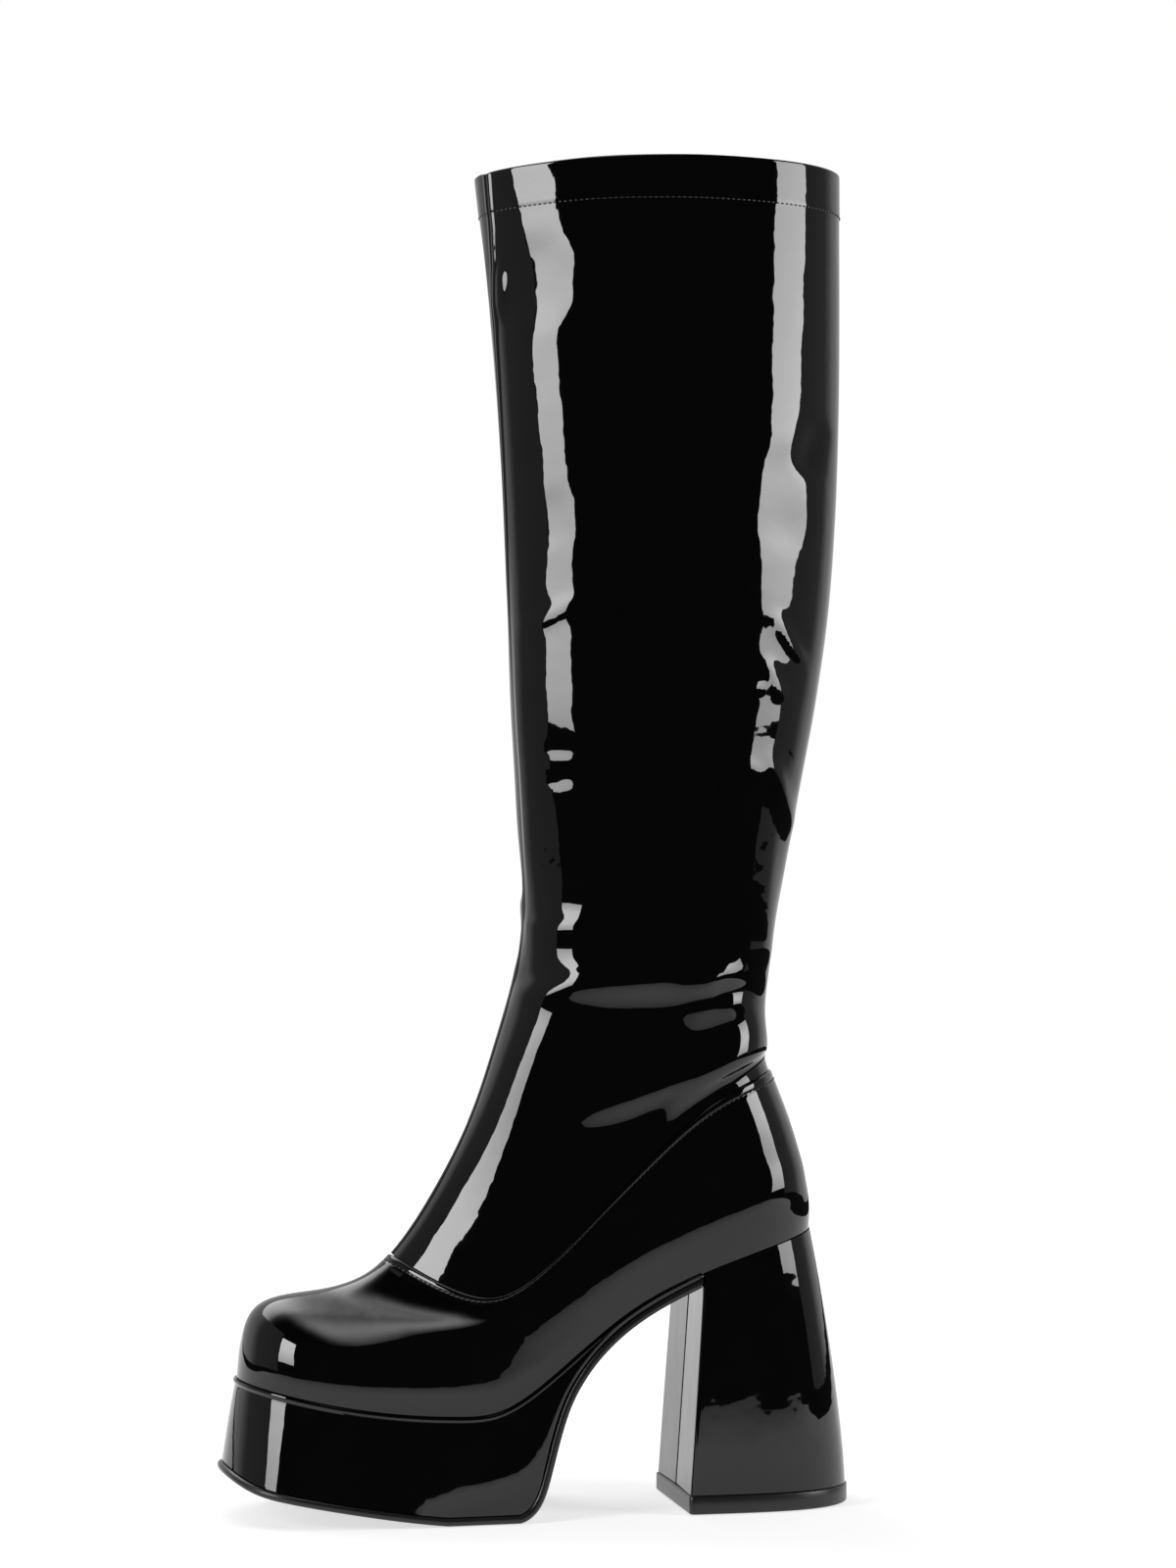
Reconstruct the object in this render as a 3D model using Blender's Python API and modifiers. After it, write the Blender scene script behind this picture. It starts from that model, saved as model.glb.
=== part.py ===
"""Knee-high platform boot for the left foot.

A lined patent leather leg and foot panel stand on a wrapped platform with a thin rubber
outsole, and on a flared block heel. Table lengths are millimetres: x runs from the toe tip
of the sole to the back of the heel, z up from the floor. The model is in metres, +Z up,
with the toe towards -X and the outer side of the foot towards -Y.
"""

import bmesh
import bpy
import numpy as np

MM = 0.001
GAP = 0.3  # clearance between pieces that meet
ORIGIN = (123.35, 3.9, 0.0)  # middle of the boot's box on the floor, in table lengths

# Driving sizes of the last and the leg.
SOLE_LENGTH = 248.0  # toe tip of the sole to the back of the heel
BALL_WIDTH = 81.0  # across the foot at the ball
INSTEP_RISE = 58.0  # throat seam above the bottom of the foot
PLATFORM_HEIGHT = 39.0  # floor to the bottom of the foot at the ball
TOE_SPRING = 12.0  # further rise of the foot at the toe
HEEL_HEIGHT = 107.0  # floor to the bottom of the foot at the back
SHAFT_HEIGHT = 520.0  # floor to the middle of the collar
CALF_WIDTH = 86.0  # across the shaft at the calf

# Walls and edges.
SHAFT_WALL = 1.6  # lined leather
PANEL_PROUD = 0.9  # foot panel over the shaft at their seam
HEM_DEPTH = 17.0  # turned hem at the collar
HEM_PROUD = 0.7
RIDGE_PROUD = 0.8  # raised seam down the front of the shaft
RIDGE_HALF = 1.8
INSOLE_THICK = 3.0
OUTSOLE_THICK = 3.2
OUTSOLE_PROUD = 0.5  # outsole edge beyond the platform
HEEL_TOP_PIECE = 7.0
HEEL_TOP_PROUD = 0.6  # top piece beyond the foot of the heel

# Bottom of the foot: x, share of the toe spring, share of the rise to the heel.
FOOT_LINE = (
    # station     x  spring   lift
    ("toe", 8.0, 1.00, 0.000),
    ("vamp", 30.0, 0.60, 0.000),
    ("joint", 62.0, 0.17, 0.000),
    ("ball", 88.0, 0.02, 0.000),
    ("tread end", 103.0, 0.00, 0.025),
    ("arch", 121.0, 0.00, 0.180),
    ("waist", 150.0, 0.00, 0.520),
    ("breast", 184.0, 0.00, 0.780),
    ("seat", 231.5, 0.00, 1.000),
)

# Underside of the outsole. Where the line dips below the floor it is pressed flat.
SOLE_LINE = (
    # station          x      z
    ("toe tip", -1.0, 18.5),
    ("toe", 9.0, 13.0),
    ("toe spring", 22.0, 9.6),
    ("joint", 44.0, 5.8),
    ("tread front", 70.0, 1.6),
    ("tread", 92.0, -0.8),
    ("tread back", 108.0, -0.6),
    ("corner", 116.5, 3.2),
    ("back foot", 121.3, 11.5),
    ("back", 125.4, 26.0),
    ("back top", 129.6, 39.5),
    ("arch", 135.5, 51.2),
    ("waist", 147.0, 64.8),
    ("shank", 164.0, 77.0),
    ("breast", 184.5, 87.0),
)

# Side of the platform: how far its foot stands out from the foot line's outline.
PLATFORM_FLARE = (
    # x      out
    (8.0, 8.1),
    (17.0, 10.0),
    (32.0, 9.4),
    (60.0, 7.4),
    (100.0, 5.6),
    (117.0, 4.5),
    (130.0, 2.6),
    (146.0, 1.5),
    (184.0, 1.4),
)

# Rim folded along the platform's top edge: drop below the edge and stand-out.
PLATFORM_RIM = (
    # row     drop   out
    ("lip", 0.0, 1.3),
    ("rim", 0.9, 2.1),
    ("rim foot", 2.3, 2.0),
    ("groove", 3.0, 1.5),
)

# Loops round the foot, from the foot line to the ankle. Front and back are percent of the
# sole length, the rise over the foot line percent of the instep rise at 0 to 100 percent of
# the loop, the half-width percent of half the ball width at 5 to 95 percent of the loop.
FOOT_LOOPS = (
    # loop         front  back  r0     r20    r40    r60    r80    r100   w5    w25   w50  w75  w95  swing
    ("foot line", 3.2, 93.3, 0.0, 0.0, 0.0, 0.0, 0.0, 0.0, 61, 95, 84, 69, 50, 1.00),
    ("wall", 3.4, 93.4, 12.0, 12.0, 13.0, 12.0, 12.0, 11.0, 63, 100, 89, 72, 53, 1.00),
    ("bulge", 3.8, 93.2, 26.0, 27.0, 27.0, 23.0, 23.0, 22.0, 62, 100, 90, 75, 55, 1.00),
    ("toe roll", 5.2, 92.8, 45.0, 42.0, 41.0, 35.0, 34.0, 32.0, 54, 95, 90, 76, 57, 1.00),
    ("toe top", 8.5, 92.4, 58.0, 54.5, 53.0, 46.0, 45.0, 42.0, 40, 90, 92, 76, 56, 0.95),
    ("vamp", 16.0, 91.5, 69.5, 64.0, 63.5, 59.0, 59.0, 57.0, 32, 85, 89, 75, 53, 0.95),
    ("under throat", 22.8, 89.8, 83.0, 70.5, 70.5, 74.0, 82.0, 81.0, 35, 87, 87, 75, 51, 0.92),
    ("seam", 27.0, 87.0, 100.0, 78.0, 78.0, 89.5, 109.5, 115.5, 40, 89, 86, 74, 48, 0.85),
    ("over throat", 31.4, 86.3, 127.0, 107.0, 102.5, 112.0, 126.0, 131.0, 44, 87, 85, 75, 48, 0.62),
    ("instep", 37.2, 86.3, 172.0, 150.0, 133.0, 133.0, 142.0, 146.0, 42, 82, 83, 74, 48, 0.37),
)
SEAM_LOOP = 7

# Loops round the leg, flat and slightly tilted: front, back and their heights in percent of
# the sole length and shaft height, half-width in percent of half the calf width.
SHAFT_LOOPS = (
    # loop        front  back  z_front z_back  w5    w25   w50   w75   w95
    ("low ankle", 43.3, 86.6, 34.6, 38.5, 32, 69, 77, 69, 40),
    ("ankle", 46.9, 87.5, 40.8, 41.9, 31, 69, 80, 70, 38),
    ("high ankle", 47.8, 89.7, 47.1, 47.3, 31, 71, 84, 73, 37),
    ("shin", 47.0, 92.7, 54.8, 54.8, 33, 74, 90, 77, 39),
    ("low calf", 45.6, 96.7, 65.4, 65.4, 35, 79, 95, 83, 42),
    ("calf", 44.3, 98.5, 76.9, 76.9, 37, 82, 99, 86, 43),
    ("high calf", 42.5, 99.0, 88.5, 88.5, 37, 83, 100, 86, 43),
    ("collar", 39.9, 99.0, 99.9, 100.8, 37, 83, 100, 86, 43),
)

RISE_STATIONS = np.array([0.0, 0.2, 0.4, 0.6, 0.8, 1.0])
WIDTH_STATIONS = np.array([0.05, 0.25, 0.5, 0.75, 0.95])

# Middle of the foot seen from above: the toe swings to the inner side, the waist to the outer.
CENTRE_STATIONS = np.array([0.0, 0.2, 0.4, 0.6, 0.8, 1.0])
CENTRE_SHIFT = np.array([4.0, 5.4, 3.2, -1.1, 0.0, 0.0])

# Block heel.
HEEL_BREAST = 178.4  # front of the heel at its foot
HEEL_BREAST_LEAN = 6.0  # and how far back its top lies
HEEL_BACK = 246.6
HEEL_BACK_LEAN = 14.0
HEEL_BACK_POWER = 1.4  # the back curves in more towards the top
HEEL_HALF_WIDTH = 31.2
HEEL_ROUND = 3.9  # how square the back is in plan


def spline(knots, values, at):
    """Natural cubic spline through the values at the knots, sampled at the points in at."""
    knots = np.asarray(knots, float)
    values = np.asarray(values, float)
    at = np.asarray(at, float)
    step = np.diff(knots)
    slope = np.diff(values, axis=0) / step.reshape((-1,) + (1,) * (values.ndim - 1))
    count = len(knots)
    system = np.eye(count)
    right = np.zeros_like(values)
    for i in range(1, count - 1):
        system[i, i - 1 : i + 2] = step[i - 1], 2 * (step[i - 1] + step[i]), step[i]
        right[i] = 6 * (slope[i] - slope[i - 1])
    bend = np.linalg.solve(system, right.reshape(count, -1)).reshape(values.shape)
    left = np.clip(np.searchsorted(knots, at) - 1, 0, count - 2)
    shape = (-1,) + (1,) * (values.ndim - 1)
    over = (at - knots[left]).reshape(shape)
    span = step[left].reshape(shape)
    first = slope[left] - span * (2 * bend[left] + bend[left + 1]) / 6
    third = (bend[left + 1] - bend[left]) / (6 * span)
    return values[left] + over * (first + over * (bend[left] / 2 + over * third))


def foot_line(x):
    """Height of the bottom of the foot: platform, toe spring and rise to the heel added up."""
    knots = [row[1] for row in FOOT_LINE]
    lift = HEEL_HEIGHT - PLATFORM_HEIGHT
    heights = [PLATFORM_HEIGHT + TOE_SPRING * row[2] + lift * row[3] for row in FOOT_LINE]
    return spline(knots, heights, np.ravel(x)).reshape(np.shape(x))


def half_width(shares, full, angle):
    """Half-width round a loop: the sine of the angle, which closes both ends, times a spline."""
    along = (1 - np.cos(angle)) / 2
    ends = 2 * np.sqrt(WIDTH_STATIONS * (1 - WIDTH_STATIONS))
    return np.sin(angle) * spline(WIDTH_STATIONS, full / 200 * np.array(shares) / ends, along)


def loops(angle):
    """All loops at the given angles round the boot, as an array of loop, angle and x, y, z.

    Angle 0 is the front, pi the back, and the outer side of the foot lies between the two.
    """
    along = (1 - np.cos(angle)) / 2
    centre = spline(CENTRE_STATIONS, CENTRE_SHIFT, along)
    rows = []
    for _, front, back, *rest in FOOT_LOOPS:
        x = SOLE_LENGTH / 100 * (front + (back - front) * along)
        rise = INSTEP_RISE / 100 * spline(RISE_STATIONS, rest[:6], along)
        y = rest[11] * centre - half_width(rest[6:11], BALL_WIDTH, angle)
        rows.append(np.stack([x, y, foot_line(x) + rise], axis=-1))
    for _, front, back, z_front, z_back, *widths in SHAFT_LOOPS:
        x = SOLE_LENGTH / 100 * (front + (back - front) * along)
        z = SHAFT_HEIGHT / 100 * (z_back + (z_front - z_back) * (1 - along) ** 2)
        y = -half_width(widths, CALF_WIDTH, angle)
        rows.append(np.stack([x, y, z], axis=-1))
    return np.stack(rows)


def loop_levels():
    """Level of each loop: the mean way along the skin from the foot line up to it."""
    rows = loops(np.linspace(0, 2 * np.pi, 73)[:-1])
    ways = np.linalg.norm(np.diff(rows, axis=0), axis=2).mean(axis=1)
    return np.concatenate([[0.0], np.cumsum(ways)])


LEVELS = loop_levels()


def skin(level, angle, proud=0.0):
    """Points of the boot's skin at each level and angle, moved out along its normal by proud."""
    step = 0.01

    def at(levels, angles):
        return spline(LEVELS, loops(angles), levels)

    up = at(level + step, angle) - at(level - step, angle)
    round_it = at(level, angle + step) - at(level, angle - step)
    normal = np.cross(round_it, up)
    normal /= np.linalg.norm(normal, axis=2, keepdims=True)
    return at(level, angle) + normal * np.reshape(proud, np.shape(proud) + (1,))


def outline(x, out):
    """Foot line's outline at x, moved out by out in plan: outer and inner rows of x, y."""
    front, back = (SOLE_LENGTH / 100 * share for share in FOOT_LOOPS[0][1:3])
    angle = np.arccos(np.clip(1 - 2 * (x - front) / (back - front), -1, 1))
    sides = []
    for turn in (angle, -angle):
        path = loops(turn)[0]
        ahead = loops(turn + 0.001)[0] - loops(turn - 0.001)[0]
        normal = np.stack([-ahead[:, 1], ahead[:, 0]], axis=1)
        normal /= -np.linalg.norm(normal, axis=1, keepdims=True)
        sides.append(path[:, :2] + normal * np.reshape(out, (-1, 1)))
    return sides


def sole_line(x):
    """Height and slope of the outsole's underside at x, pressed flat where it meets the floor."""
    knots = [row[1] for row in SOLE_LINE]
    heights = [row[2] for row in SOLE_LINE]
    height = spline(knots, heights, x)
    slope = (spline(knots, heights, x + 0.01) - spline(knots, heights, x - 0.01)) / 0.02
    flat = height <= 0
    return np.where(flat, 0.0, height), np.where(flat, 0.0, slope)


def over_sole(path, lift):
    """Points over the plan path, lifted square off the outsole's underside by lift."""
    height, slope = sole_line(path[:, 0])
    lean = lift / np.hypot(slope, 1)
    return np.stack([path[:, 0] - slope * lean, path[:, 1], height + lean], axis=1)


def make_object(name, bm, colour, roughness):
    """Mesh object for one piece, cleaned, with its material, in the boot's collection."""
    bmesh.ops.remove_doubles(bm, verts=bm.verts, dist=1e-5)
    bmesh.ops.dissolve_degenerate(bm, edges=bm.edges, dist=1e-6)
    bmesh.ops.recalc_face_normals(bm, faces=bm.faces)
    mesh = bpy.data.meshes.new(name)
    bm.to_mesh(mesh)
    bm.free()
    mesh.shade_smooth()
    mesh.set_sharp_from_angle(angle=np.radians(35))
    material = bpy.data.materials.new(name)
    material.use_nodes = True
    shader = material.node_tree.nodes["Principled BSDF"]
    shader.inputs["Base Color"].default_value = (*colour, 1)
    shader.inputs["Roughness"].default_value = roughness
    shader.inputs["Metallic"].default_value = 0
    mesh.materials.append(material)
    obj = bpy.data.objects.new(name, mesh)
    boot.objects.link(obj)
    return obj


def add_grid(bm, points, closed):
    """Quads over rows of points; closed joins the end of each row to its start."""
    rows, columns = points.shape[:2]
    verts = [[bm.verts.new(MM * (point - ORIGIN)) for point in row] for row in points]
    for i in range(rows - 1):
        for j in range(columns if closed else columns - 1):
            k = (j + 1) % columns
            bm.faces.new((verts[i][j], verts[i][k], verts[i + 1][k], verts[i + 1][j]))
    return verts


def thicken(obj, thickness, side):
    """Solidify an open surface to a wall, on the side of its normals (1) or behind them (-1)."""
    solid = obj.modifiers.new("wall", "SOLIDIFY")
    solid.thickness = MM * thickness
    solid.offset = side
    solid.use_even_offset = True


def make_shell(name, levels, angles, proud, colour, roughness):
    """Leather piece: up the skin on the outside, over its edge and down the lining inside."""
    outside = skin(levels, angles, proud)
    inside = skin(levels[::-1], angles, np.full(proud.shape, -SHAFT_WALL))
    if levels[0] == 0:
        outside[0, :, 2] = foot_line(outside[0, :, 0]) + 0.1
        inside[-1, :, 2] = foot_line(inside[-1, :, 0]) + 0.1
    bm = bmesh.new()
    add_grid(bm, np.concatenate([outside, inside, outside[:1]]), closed=True)
    make_object(name, bm, colour, roughness)


def make_sheet(name, outer, inner, thickness, colour, roughness):
    """Sheet between an outer and an inner edge, thickened upwards."""
    bm = bmesh.new()
    add_grid(bm, np.stack([outer, inner], axis=1), closed=False)
    obj = make_object(name, bm, colour, roughness)
    up = sum(face.normal.z for face in obj.data.polygons) > 0
    thicken(obj, thickness, 1 if up else -1)
    return obj


def round_edges(obj, width, segments):
    """Bevel the sharp edges of a piece."""
    bevel = obj.modifiers.new("edges", "BEVEL")
    bevel.width = MM * width
    bevel.segments = segments
    bevel.limit_method = "ANGLE"
    bevel.angle_limit = np.radians(50)


for old in list(bpy.data.objects):
    bpy.data.objects.remove(old, do_unlink=True)
boot = bpy.data.collections.new("platform_boot")
bpy.context.scene.collection.children.link(boot)

PATENT = (0.004, 0.004, 0.004)
LINING = (0.012, 0.012, 0.012)
RUBBER = (0.008, 0.008, 0.008)

# Angles round the boot: close together at the front, where the raised seam runs.
ridge = RIDGE_HALF / 26 * np.array([-1.2, -0.6, 0.0, 0.6, 1.2])
around = np.concatenate([ridge, np.linspace(0, 2 * np.pi, 49)[1:-1]])
seam = LEVELS[SEAM_LOOP]

# Foot panel: vamp and counter in one, from the foot line up to the seam over the instep.
panel_rows = np.linspace(0, seam - GAP / 2, 15)
panel_proud = np.full((len(panel_rows), len(around)), PANEL_PROUD)
make_shell("upper", panel_rows, around, panel_proud, PATENT, 0.08)

# Shaft: from the seam to the collar, with a step for the turned hem and a raised front seam.
collar = LEVELS[-1]
shaft_rows = np.concatenate([
    np.linspace(seam + GAP / 2, collar - HEM_DEPTH - 0.8, 20),
    collar - HEM_DEPTH * np.array([1.0, 0.5, 0.0]),
])
hem = np.where(shaft_rows >= collar - HEM_DEPTH - 0.1, HEM_PROUD, 0.0)
raised = np.zeros(len(around))
raised[:5] = RIDGE_PROUD * np.array([0.0, 0.8, 1.0, 0.8, 0.0])
make_shell("shaft", shaft_rows, around, np.add.outer(hem, raised), PATENT, 0.08)

# Insole: a board on the bottom of the foot, inside the lasted panel.
foot_front, foot_back = (SOLE_LENGTH / 100 * share for share in FOOT_LOOPS[0][1:3])
ends = (1 - np.cos(np.linspace(0, np.pi, 41))) / 2
board = foot_front + (foot_back - foot_front) * ends
edges = outline(board, -SHAFT_WALL - GAP - 0.2)
edges = [np.column_stack([edge, foot_line(edge[:, 0]) + 0.1]) for edge in edges]
make_sheet("insole", *edges, INSOLE_THICK, LINING, 0.7)

# Stations along the sole: close together round the toe and up the back of the platform.
toe = foot_front + 0.5 * (40 - foot_front) * (1 - np.cos(np.linspace(0, np.pi / 2, 8))) * 2
breast = HEEL_BREAST + HEEL_BREAST_LEAN
stations = np.concatenate([
    toe[:-1],
    np.linspace(40, 106, 8)[:-1],
    np.linspace(106, 138, 15)[:-1],
    np.linspace(138, breast - 1.2, 7),
])
flare = spline([row[0] for row in PLATFORM_FLARE], [row[1] for row in PLATFORM_FLARE], stations)

# Outsole: rubber sheet under the platform, up its back and along the waist to the heel.
edges = [over_sole(edge, 0) for edge in outline(stations, flare + OUTSOLE_PROUD)]
outsole = make_sheet("outsole", *edges, OUTSOLE_THICK, RUBBER, 0.35)
round_edges(outsole, 1.4, 2)

# Platform: a loft from the folded rim under the foot out to the flared foot on the outsole.
sides = []
tops = outline(stations, PLATFORM_RIM[0][2])
feet = [over_sole(edge, OUTSOLE_THICK + GAP) for edge in outline(stations, flare)]
for side in (0, 1):
    depth = foot_line(tops[side][:, 0]) - GAP - feet[side][:, 2]
    fit = np.clip(depth / 12, 0.15, 1)
    rows = []
    for _, drop, out in PLATFORM_RIM:
        edge = outline(stations, out)[side]
        rows.append(np.column_stack([edge, foot_line(edge[:, 0]) - GAP - drop * fit]))
    for share in (0.35, 0.7, 1.0):
        rows.append(rows[3] + share * (feet[side] - rows[3]))
    sides.append(np.stack(rows, axis=1))
rings = np.concatenate([sides[0], sides[1][:, ::-1]], axis=1)
bm = bmesh.new()
corners = add_grid(bm, rings, closed=True)
bm.faces.new(corners[-1])
make_object("platform", bm, PATENT, 0.08)

# Heel: D-shaped sections that flare from the heel seat to the floor, flat at the breast.
along = np.sin(np.linspace(0, np.pi / 2, 15))
seat_back = foot_back + 1.3
seat_x = breast + (seat_back - breast) * along
seat_y = -outline(breast + (foot_back - breast) * along, 0.0)[0][:, 1] * 1.04
foot_y = HEEL_HALF_WIDTH * np.sqrt(1 - along**HEEL_ROUND)
heel_foot = HEEL_TOP_PIECE + GAP
halves = []
for level in (0.0, 0.12, 0.26, 0.4, 0.54, 0.68, 0.82, 0.93, 1.0):
    front = HEEL_BREAST + HEEL_BREAST_LEAN * level
    back = HEEL_BACK - HEEL_BACK_LEAN * level**HEEL_BACK_POWER
    x = front + (back - front) * along
    y = foot_y + (seat_y - foot_y) * level**1.9
    z = heel_foot + (foot_line(seat_x) - GAP - heel_foot) * level
    halves.append(np.stack([x, y, z], axis=1))
halves = np.stack(halves)
mirrored = halves * (1, -1, 1)
bm = bmesh.new()
add_grid(bm, np.concatenate([mirrored, halves[:, -2::-1]], axis=1), closed=True)
for end in (0, -1):
    add_grid(bm, np.stack([mirrored[end], halves[end]]), closed=False)
make_object("heel", bm, PATENT, 0.08)

# Heel top piece: a flat D under the heel, a little wider than its foot.
plan = np.concatenate([mirrored[0], halves[0, -2::-1]]) * (1, 1, 0)
centre = plan.mean(axis=0)
plan = centre + (plan - centre) * (1 + HEEL_TOP_PROUD / HEEL_HALF_WIDTH)
bm = bmesh.new()
bm.faces.new([bm.verts.new(MM * (point - ORIGIN)) for point in plan])
piece = make_object("heel_top_piece", bm, RUBBER, 0.4)
thicken(piece, HEEL_TOP_PIECE, 1 if piece.data.polygons[0].normal.z > 0 else -1)
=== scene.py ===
"""Looks of the knee-high black patent platform boot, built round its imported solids.

Table lengths are millimetres: x runs from the toe tip of the sole to the back of the heel,
y is negative on the outer side of the foot, z is up from the floor.
"""

import bmesh
import bpy
import numpy as np
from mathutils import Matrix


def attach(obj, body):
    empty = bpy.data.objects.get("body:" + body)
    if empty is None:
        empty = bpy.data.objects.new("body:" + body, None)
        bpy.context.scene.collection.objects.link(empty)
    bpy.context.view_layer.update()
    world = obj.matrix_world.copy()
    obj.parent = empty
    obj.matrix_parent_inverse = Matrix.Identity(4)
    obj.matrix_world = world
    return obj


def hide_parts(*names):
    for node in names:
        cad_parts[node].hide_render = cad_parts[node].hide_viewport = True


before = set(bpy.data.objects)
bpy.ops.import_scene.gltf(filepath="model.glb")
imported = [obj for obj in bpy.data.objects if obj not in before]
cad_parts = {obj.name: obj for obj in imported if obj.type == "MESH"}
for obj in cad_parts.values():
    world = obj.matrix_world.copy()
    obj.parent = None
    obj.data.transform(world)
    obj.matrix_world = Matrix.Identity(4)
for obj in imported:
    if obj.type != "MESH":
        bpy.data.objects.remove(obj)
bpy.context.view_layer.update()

# Insole: the board that the foot stands on, covered with the cloth of the lining.
# It is cut to the bottom of the last and lies inside the lasted foot panel.
# The part's own solid has its shape, so it stays and takes the cloth.


def linear(colour):
    """sRGB hex value as linear red, green, blue and alpha."""
    parts = np.array([int(colour[i : i + 2], 16) for i in (1, 3, 5)]) / 255
    values = np.where(parts <= 0.04045, parts / 12.92, ((parts + 0.055) / 1.055) ** 2.4)
    return (*values.tolist(), 1.0)


def add_node(tree, kind, inputs, **settings):
    """Adds a node with its settings; an input takes a value, or a link from (node, output)."""
    node = tree.nodes.new(kind)
    for name, value in settings.items():
        setattr(node, name, value)
    for name, value in inputs.items():
        if isinstance(value, tuple) and isinstance(value[0], bpy.types.Node):
            tree.links.new(value[0].outputs[value[1]], node.inputs[name])
        else:
            node.inputs[name].default_value = value
    return node


def new_material(name):
    """Empty node material: returns it with its tree and its object coordinates."""
    material = bpy.data.materials.new(name)
    material.use_nodes = True
    material.node_tree.nodes.clear()
    place = add_node(material.node_tree, "ShaderNodeTexCoord", {})
    return material, material.node_tree, (place, "Object")


def close_material(tree, shader):
    """Links a shader to the output of its material."""
    add_node(tree, "ShaderNodeOutputMaterial", {"Surface": (shader, 0)})


# Knitted polyester cloth, matt and near black. Its loops are 0.6 mm apart; they are drawn
# 1.6 mm apart so that they show. The eye gets a dull surface with a fine dark rib.
CLOTH_RIB = 0.0016
WAVE_BAND = 0.314  # from band to band of a wave texture of scale 1
cloth, tree, place = new_material("knitted polyester lining")
ribs = [
    add_node(
        tree,
        "ShaderNodeTexWave",
        {"Vector": place, "Scale": WAVE_BAND / CLOTH_RIB, "Distortion": 0.6, "Detail": 1.0},
        bands_direction=direction,
    )
    for direction in ("X", "Y", "Z")
]
weave = add_node(
    tree, "ShaderNodeMath", {0: (ribs[0], "Fac"), 1: (ribs[1], "Fac")}, operation="ADD"
)
weave = add_node(tree, "ShaderNodeMath", {0: (weave, 0), 1: (ribs[2], "Fac")}, operation="ADD")
tint = add_node(
    tree,
    "ShaderNodeMix",
    {"Factor": (weave, 0), "A": linear("#0d0d0e"), "B": linear("#1d1d1f")},
    data_type="RGBA",
)
rise = add_node(
    tree, "ShaderNodeBump", {"Height": (weave, 0), "Distance": 0.0002, "Strength": 0.5}
)
shader = add_node(
    tree,
    "ShaderNodeBsdfPrincipled",
    {
        "Base Color": (tint, 2),
        "Roughness": 0.85,
        "Sheen Weight": 0.15,
        "Sheen Roughness": 0.5,
        "Normal": (rise, 0),
    },
)
close_material(tree, shader)
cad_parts["insole"].data.materials.clear()
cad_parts["insole"].data.materials.append(cloth)

# Lining: knitted cloth bonded to the leather of leg and foot, from the turned hem at the
# collar down to the insole. It is sewn under the hem and lasted in with the foot panel.

ORIGIN = np.array([123.35, 3.9, 0.0])  # middle of the boot's box, in table lengths
GAP = 0.3  # between pieces that meet

# Driving sizes of the last and the leg.
SOLE_LENGTH = 248.0
BALL_WIDTH = 81.0
INSTEP_RISE = 58.0
PLATFORM_HEIGHT = 39.0
TOE_SPRING = 12.0
HEEL_HEIGHT = 107.0
SHAFT_HEIGHT = 520.0
CALF_WIDTH = 86.0
SHAFT_WALL = 1.6
LINING_THICK = 0.35
LINING_FOOT = 0.5  # its lower edge over the foot line
LINING_LAP = 1.0  # how far it reaches under the hem
HEM_DEPTH = 17.0

# Bottom of the foot: x, share of the toe spring, share of the rise to the heel.
FOOT_LINE = (
    # station, x, spring, lift
    ("toe", 8.0, 1.00, 0.000),
    ("vamp", 30.0, 0.60, 0.000),
    ("joint", 62.0, 0.17, 0.000),
    ("ball", 88.0, 0.02, 0.000),
    ("tread end", 103.0, 0.00, 0.025),
    ("arch", 121.0, 0.00, 0.180),
    ("waist", 150.0, 0.00, 0.520),
    ("breast", 184.0, 0.00, 0.780),
    ("seat", 231.5, 0.00, 1.000),
)

# Loops round the foot, from the foot line to the ankle. Front and back are percent of the
# sole length, the rise over the foot line percent of the instep rise at 0 to 100 percent of
# the loop, the half-width percent of half the ball width at 5 to 95 percent of the loop.
FOOT_LOOPS = (
    # loop, front, back, six rises, five half-widths, share of the swing of the foot's middle
    ("foot line", 3.2, 93.3, 0.0, 0.0, 0.0, 0.0, 0.0, 0.0, 61, 95, 84, 69, 50, 1.00),
    ("wall", 3.4, 93.4, 12.0, 12.0, 13.0, 12.0, 12.0, 11.0, 63, 100, 88.5, 72, 53, 1.00),
    ("bulge", 3.8, 93.2, 26.0, 27.0, 27.0, 23.0, 23.0, 22.0, 62, 100, 90, 75, 55, 1.00),
    ("toe roll", 5.2, 92.8, 45.0, 42.0, 41.0, 35.0, 34.0, 32.0, 54, 95, 91, 77, 57, 1.00),
    ("toe top", 8.5, 92.4, 58.0, 54.5, 53.0, 46.0, 45.0, 42.0, 40, 88.5, 91, 76, 56, 0.95),
    ("vamp", 16.0, 91.5, 69.5, 64.0, 63.5, 59.0, 59.0, 57.0, 32, 85, 89, 75, 53, 0.95),
    ("under throat", 22.8, 89.8, 83.0, 70.5, 70.5, 74.0, 82.0, 81.0, 34, 88, 87, 75, 51, 0.92),
    ("seam", 27.0, 87.0, 100.0, 78.0, 78.0, 89.5, 109.5, 115.5, 36, 88, 85, 74, 48, 0.85),
    ("over throat", 31.4, 86.3, 127.0, 107.0, 102.5, 112.0, 126.0, 131.0, 33, 77, 82, 75, 48, 0.62),
    ("instep", 37.2, 86.3, 172.0, 150.0, 133.0, 133.0, 142.0, 146.0, 33, 68, 78, 73, 48, 0.37),
)
SEAM_LOOP = [row[0] for row in FOOT_LOOPS].index("seam")

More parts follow.
